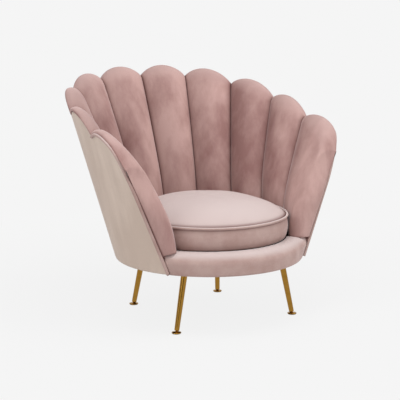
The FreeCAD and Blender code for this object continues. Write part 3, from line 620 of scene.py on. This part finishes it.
# Its inner lip follows the round of the cushion, whose middle lies further back.
lip = (profile[:, 0] < LIP_RADIUS) & (profile[:, 1] > 0.2500)
drawn_in = (BASE_Y - WELL_Y) * np.cos(turns)[:, None] - LIP_CLEAR
reach = profile[None, :, 0] - np.where(lip, drawn_in, 0)
rings = np.stack([np.sin(turns)[:, None] * reach, np.cos(turns)[:, None] * reach + BASE_Y,
                  np.broadcast_to(profile[None, :, 1], reach.shape)], -1)

# Its ends are drawn out to the flaring front edges of the tub, where the welts hold them.
from_end = (math.pi - CHANNELS * BASE_TURN - np.abs(turns - math.pi)) * BASE_RADIUS
held = np.exp(-(from_end / END_LENGTH) ** 2)[:, None] * np.clip((profile[None, :, 0] - 0.262) / 0.03, 0, 1)
ends = np.where(turns > math.pi, -CHANNELS, CHANNELS)[:, None] * np.ones(len(profile))
level = np.broadcast_to(profile[None, :, 1], ends.shape)
rings[..., :2] += (outer_face(ends, level) - outer_face(ends, UNDERSIDE))[..., :2] * held[..., None]
apron = skin_mesh("padded_front_apron", rings)
apron.data.materials.append(seat_velvet)
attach(apron, "chair")
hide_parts("front_apron")

# Seat cushion: a loose round cushion with a foam core, a crowned top and a bowed side band. Its velvet case
# is cut as two rounds and a band, sewn together, and shaped here as the filled case settles.

CUSHION_TURNS = 144
SEAM_RADIUS = 0.2535
SEAM_LEVEL = DECK + 0.075
LOW_RADIUS = 0.2530
LOW_LEVEL = DECK + 0.0055
CROWN_HEIGHT = 0.058
BULGE = 0.007


def cushion_mesh(name):
    """Case of the cushion as rings from the middle of its underside to the middle of its top."""
    under = [(LOW_RADIUS * share, DECK + 0.0002 + 0.0053 * share ** 9) for share in np.linspace(0.04, 1, 12)]
    band = [(LOW_RADIUS + (SEAM_RADIUS - LOW_RADIUS) * share + BULGE * math.sin(math.pi * share) ** 0.8,
             LOW_LEVEL + (SEAM_LEVEL - LOW_LEVEL) * share) for share in np.linspace(0, 1, 15)[1:]]
    crown = [(SEAM_RADIUS * share, SEAM_LEVEL + CROWN_HEIGHT * (1 - share ** 3.2) ** 0.9)
             for share in np.linspace(1, 0.02, 42)[1:]]
    profile = np.array(under + band + crown)
    turns = np.linspace(0, 2 * math.pi, CUSHION_TURNS, endpoint=False)
    share = np.clip(profile[:, 0] / SEAM_RADIUS, 0, 1)[:, None]
    slack = (profile[:, 1] > SEAM_LEVEL)[:, None] * share * (1 - share) * 4
    settled = 0.0016 * slack * (np.sin(turns * 2 + 0.7) + 0.6 * np.sin(turns * 5 + share * 4))
    rings = np.stack([profile[:, :1] * np.sin(turns), profile[:, :1] * np.cos(turns) + WELL_Y,
                      profile[:, 1:] + settled], -1)
    return skin_mesh(name, rings), len(under), len(under) + len(band)


cushion, low_row, seam_row = cushion_mesh("velvet_seat_cushion")
row = np.repeat(np.arange(len(cushion.data.vertices) // CUSHION_TURNS), CUSHION_TURNS)
# Painted shade: the band darkens just under the piping seam and, faintly, at its lower seam.
cushion_seam_shade = np.maximum(np.exp(-(row - seam_row + 1.0) ** 2 / 1.2), 0.25 * np.exp(-(row - low_row) ** 2 / 4))
cushion.data.attributes.new("crease_shade", "FLOAT", "POINT").data.foreach_set("value", cushion_seam_shade)
cushion.data.materials.append(seat_velvet)
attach(cushion, "cushion")
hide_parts("seat_cushion")

# Deck cloth: black non-woven lining that covers the webbing's foam pad and laps over the shelf ring to the
# channels' feet. In front it ends at the apron.

DECK_TURNS = 120
DECK_LAP = 0.2614
APRON_LAP = 0.2505


def deck_cloth():
    """Flat cloth as rings from its middle under to its edge and back over."""
    turn = np.linspace(0, 2 * math.pi, DECK_TURNS, endpoint=False)
    front = np.abs(turn - math.pi) < math.radians(62)
    edge = np.where(front, APRON_LAP, DECK_LAP)
    shift = np.where(front, 0.0, WELL_Y - BASE_Y)
    rows = [(0.002, 0.2477), (0.12, 0.2477), (0.2370, 0.2477), (0.2388, 0.24908), (0, 0.24908),
            (0.0004, 0.24922), (0, 0.24936), (0.2380, 0.24936), (0.12, 0.2488), (0.002, 0.2488)]
    rings = []
    for reach, level in rows:
        outer = reach < 0.001
        radius = edge + reach if outer else np.full(DECK_TURNS, reach)
        middle = BASE_Y + (shift if outer else 0)
        rings.append(np.stack([radius * np.sin(turn), middle + radius * np.cos(turn),
                               np.full(DECK_TURNS, level)], -1))
    return skin_mesh("lining_deck_cloth", np.array(rings))


deck = deck_cloth()
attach(deck, "chair")
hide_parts("deck_cover")

# Cushion piping: a cord covered in the cushion's velvet, sewn all round its upper seam between crown and
# band, where it lies a little uneven.

PIPING = 0.0042
PIPING_RADIUS = SEAM_RADIUS + PIPING * 0.9
PIPING_TURNS = 220
turns = np.linspace(0, 2 * math.pi, PIPING_TURNS, endpoint=False)
round_seam = np.stack([PIPING_RADIUS * np.sin(turns), PIPING_RADIUS * np.cos(turns) + WELL_Y,
                       SEAM_LEVEL + 0.0005 * np.sin(turns * 5)], -1)
piping = tube("velvet_cushion_piping", round_seam, PIPING, (0, 0, 1), closed=True)
piping.data.materials.append(seat_velvet)
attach(piping, "cushion")
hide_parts("cushion_piping")

# Legs: tapered steel tubes, brass plated and polished, each welded to a square plate under the base. They
# lean out by twelve degrees and end in a levelling foot: a domed brass disc on a threaded stud, with a
# nylon glide.

SPLAY = math.radians(12)
PLATE = 0.058
PLATE_THICKNESS = 0.004
LEG_TOP = 0.0102
LEG_FOOT = 0.0078
LEG_END = 0.009
WALL = 0.0012
BEVEL = 0.0007
GLIDE_TOP = 0.0016
SMEARS_PER_METRE = 60
LEGS = {
    "front_left": (-0.1784, -0.1476, 180 + 19), "front_right": (0.1784, -0.1476, -19),
    "back_left": (-0.1418, 0.1777, 180 - 55.6), "back_right": (0.1418, 0.1777, 55.6)}


def polished_brass():
    """Brass plating buffed bright: clear reflections, a little softer where it was handled."""
    material, tree = new_material("polished_brass_plate")
    place = add(tree, "TexCoord")
    smear = add(tree, "TexNoise", {"Vector": place.outputs["Object"], "Scale": SMEARS_PER_METRE,
                                   "Detail": 3})
    rough = add(tree, "MapRange", {"Value": smear.outputs["Fac"], "To Min": 0.09, "To Max": 0.18})
    tone = add(tree, "Mix", {"Factor": smear.outputs["Fac"], "A": srgb("8b6527"), "B": srgb("aa8039")},
               data_type="RGBA")
    metal = add(tree, "BsdfPrincipled", {"Base Color": tone.outputs["Result"], "Metallic": 1.0,
                                         "Roughness": rough.outputs[0]})
    add(tree, "OutputMaterial", {"Surface": metal.outputs[0]})
    return material


def turned(name, start, way, profile):
    """Round solid turned from a profile of radius and distance along its axis."""
    way = np.asarray(way, float)
    across = np.cross(way, (0.3, 0.9, 0.1))
    across /= np.linalg.norm(across)
    over = np.cross(way, across)
    turn = np.linspace(0, 2 * math.pi, 40, endpoint=False)
    spokes = across[None] * np.cos(turn)[:, None] + over[None] * np.sin(turn)[:, None]
    rings = np.array([np.asarray(start) + way * along + spokes * radius for radius, along in profile])
    return skin_mesh(name, rings)


def joined(name, pieces):
    """Several meshes as one piece."""
    with bpy.context.temp_override(active_object=pieces[0], selected_editable_objects=pieces,
                                   selected_objects=pieces, object=pieces[0]):
        bpy.ops.object.join()
    pieces[0].name = name
    return pieces[0]


brass = polished_brass()
for leg, (x, y, lean) in LEGS.items():
    lean = math.radians(lean)
    down = np.array([math.sin(SPLAY) * math.cos(lean), math.sin(SPLAY) * math.sin(lean), -math.cos(SPLAY)])
    head = np.array([x, BASE_Y + y, UNDERSIDE + PLATE_THICKNESS / 3])
    length = (head[2] - LEG_END) / math.cos(SPLAY)
    shank = [(LEG_TOP - WALL, 0.001), (LEG_TOP, 0.001)]
    shank += [(LEG_TOP + (LEG_FOOT - LEG_TOP) * share, length * share)
              for share in np.linspace(0.04, 0.985, 14)]
    shank += [(LEG_FOOT - 0.0002, length * 0.996), (LEG_FOOT - 0.0008, length), (LEG_FOOT - WALL, length),
              (LEG_FOOT - WALL, length * 0.9)]
    tube_part = turned(f"leg_tube_{leg}", head, down, shank)
    corners = np.array([(-1, -1), (1, -1), (1, 1), (-1, 1)]) * PLATE / 2
    slab = []
    for inset, rise in ((BEVEL, 0), (0, BEVEL), (0, PLATE_THICKNESS - BEVEL), (BEVEL, PLATE_THICKNESS)):
        ring = corners * (1 - 2 * inset / PLATE)
        slab.append([(head[0] + cx, head[1] + cy, UNDERSIDE + rise) for cx, cy in ring])
    plate_part = skin_mesh(f"leg_plate_{leg}", np.array(slab))
    plate_part.data.shade_flat()
    for part in (tube_part, plate_part):
        part.data.materials.append(brass)
    piece = joined(f"brass_leg_{leg}", [tube_part, plate_part])
    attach(piece, "chair")
    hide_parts(f"leg_{leg}")

    # The foot's disc lies level on its glide, and its stud follows the leg.
    rest = head + down * ((head[2] - GLIDE_TOP) / math.cos(SPLAY))
    dome = [(0.0138, 0.0), (0.0148, 0.0003), (0.0150, 0.0012), (0.0149, 0.0020), (0.0143, 0.0027),
            (0.0125, 0.0034), (0.0100, 0.0040), (0.0075, 0.0044), (0.0062, 0.0046), (0.002, 0.0047)]
    disc = turned(f"foot_disc_{leg}", rest, (0, 0, 1), dome)
    thread = [(0.0036, 0), (0.0039, 0.0004), (0.0039, 0.028), (0.003, 0.029)]
    stud = turned(f"foot_stud_{leg}", rest - down * 0.004, -down, thread)
    for part in (disc, stud):
        part.data.materials.append(brass)
    foot = joined(f"brass_foot_{leg}", [disc, stud])
    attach(foot, f"foot_{leg}")
    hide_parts(f"levelling_foot_{leg}")

# Plain inner and underside pieces keep their own solids: timber ribs and rails, plywood board, shelf and
# liner, woven webbing, foam, black lining cloth, zinc-plated screws and inserts, and moulded nylon glides.


def timber(name, dark, light, grain):
    """Planed timber or plywood face: long grain lines across a soft tone."""
    material, tree = new_material(name)
    place = add(tree, "TexCoord")
    along = add(tree, "Mapping", {"Vector": place.outputs["Object"], "Scale": (1, 1, 0.08)})
    lines = add(tree, "TexNoise", {"Vector": along.outputs[0], "Scale": 1 / grain, "Detail": 5,
                                   "Roughness": 0.65})
    tone = add(tree, "Mix", {"Factor": lines.outputs["Fac"], "A": srgb(dark), "B": srgb(light)},
               data_type="RGBA")
    bump = add(tree, "Bump", {"Height": lines.outputs["Fac"], "Strength": 0.2, "Distance": 0.0003})
    wood = add(tree, "BsdfPrincipled", {"Base Color": tone.outputs["Result"], "Roughness": 0.65, "IOR": 1.5,
                                        "Normal": bump.outputs[0]})
    add(tree, "OutputMaterial", {"Surface": wood.outputs[0]})
    return material


def woven(name, dark, light, thread):
    """Plain cloth or strap: threads crossing at a real spacing, drawn a little coarse so that they show."""
    material, tree = new_material(name)
    place = add(tree, "TexCoord")
    waves = {"Vector": place.outputs["Object"], "Scale": 1 / thread / 20}
    warp = add(tree, "TexWave", waves, bands_direction="X")
    weft = add(tree, "TexWave", waves, bands_direction="Y")
    cross = add(tree, "Math", {0: warp.outputs["Fac"], 1: weft.outputs["Fac"]}, operation="MULTIPLY")
    tone = add(tree, "Mix", {"Factor": cross.outputs[0], "A": srgb(dark), "B": srgb(light)}, data_type="RGBA")
    bump = add(tree, "Bump", {"Height": cross.outputs[0], "Strength": 0.4, "Distance": thread / 3})
    cloth = add(tree, "BsdfPrincipled", {"Base Color": tone.outputs["Result"], "Roughness": 0.9, "IOR": 1.45,
                                         "Specular IOR Level": 0.2, "Normal": bump.outputs[0]})
    add(tree, "OutputMaterial", {"Surface": cloth.outputs[0]})
    return material


def moulded(name, dark, light, rough, metallic=0.0, per_metre=300):
    """Moulded or plated surface with a faint mottle, so many marks to the metre."""
    material, tree = new_material(name)
    place = add(tree, "TexCoord")
    mottle = add(tree, "TexNoise", {"Vector": place.outputs["Object"], "Scale": per_metre, "Detail": 3})
    tone = add(tree, "Mix", {"Factor": mottle.outputs["Fac"], "A": srgb(dark), "B": srgb(light)},
               data_type="RGBA")
    spread = add(tree, "MapRange", {"Value": mottle.outputs["Fac"], "To Min": rough - 0.08,
                                    "To Max": rough + 0.08})
    body = add(tree, "BsdfPrincipled", {"Base Color": tone.outputs["Result"], "Metallic": metallic,
                                        "Roughness": spread.outputs[0]})
    add(tree, "OutputMaterial", {"Surface": body.outputs[0]})
    return material


finishes = {
    "webbing": woven("elastic_webbing", "2e2a26", "5b544c", 0.002),
    "foam": moulded("upholstery_foam", "d8cfae", "e6dfc6", 0.9, per_metre=900),
    "lining_cloth": woven("black_lining_cloth", "0d0d0e", "1d1d1f", 0.0012),
    "zinc_steel": moulded("zinc_plated_steel", "9a9c9e", "b6b8ba", 0.35, metallic=1.0),
    "glide_plastic": moulded("moulded_nylon", "141414", "202020", 0.5),
    "beech": timber("planed_beech", "a9794c", "c49a68", 0.004),
    "plywood": timber("birch_plywood", "c2a274", "d8bd92", 0.006),
    "velvet": flute_velvet,
    "brass": brass}

for part in frame["record"]["subparts"]:
    solid = frame["nodes"][part["node"]]
    solid.data.materials.clear()
    solid.data.materials.append(finishes[part["material_slot"]])

deck.data.materials.append(finishes["lining_cloth"])
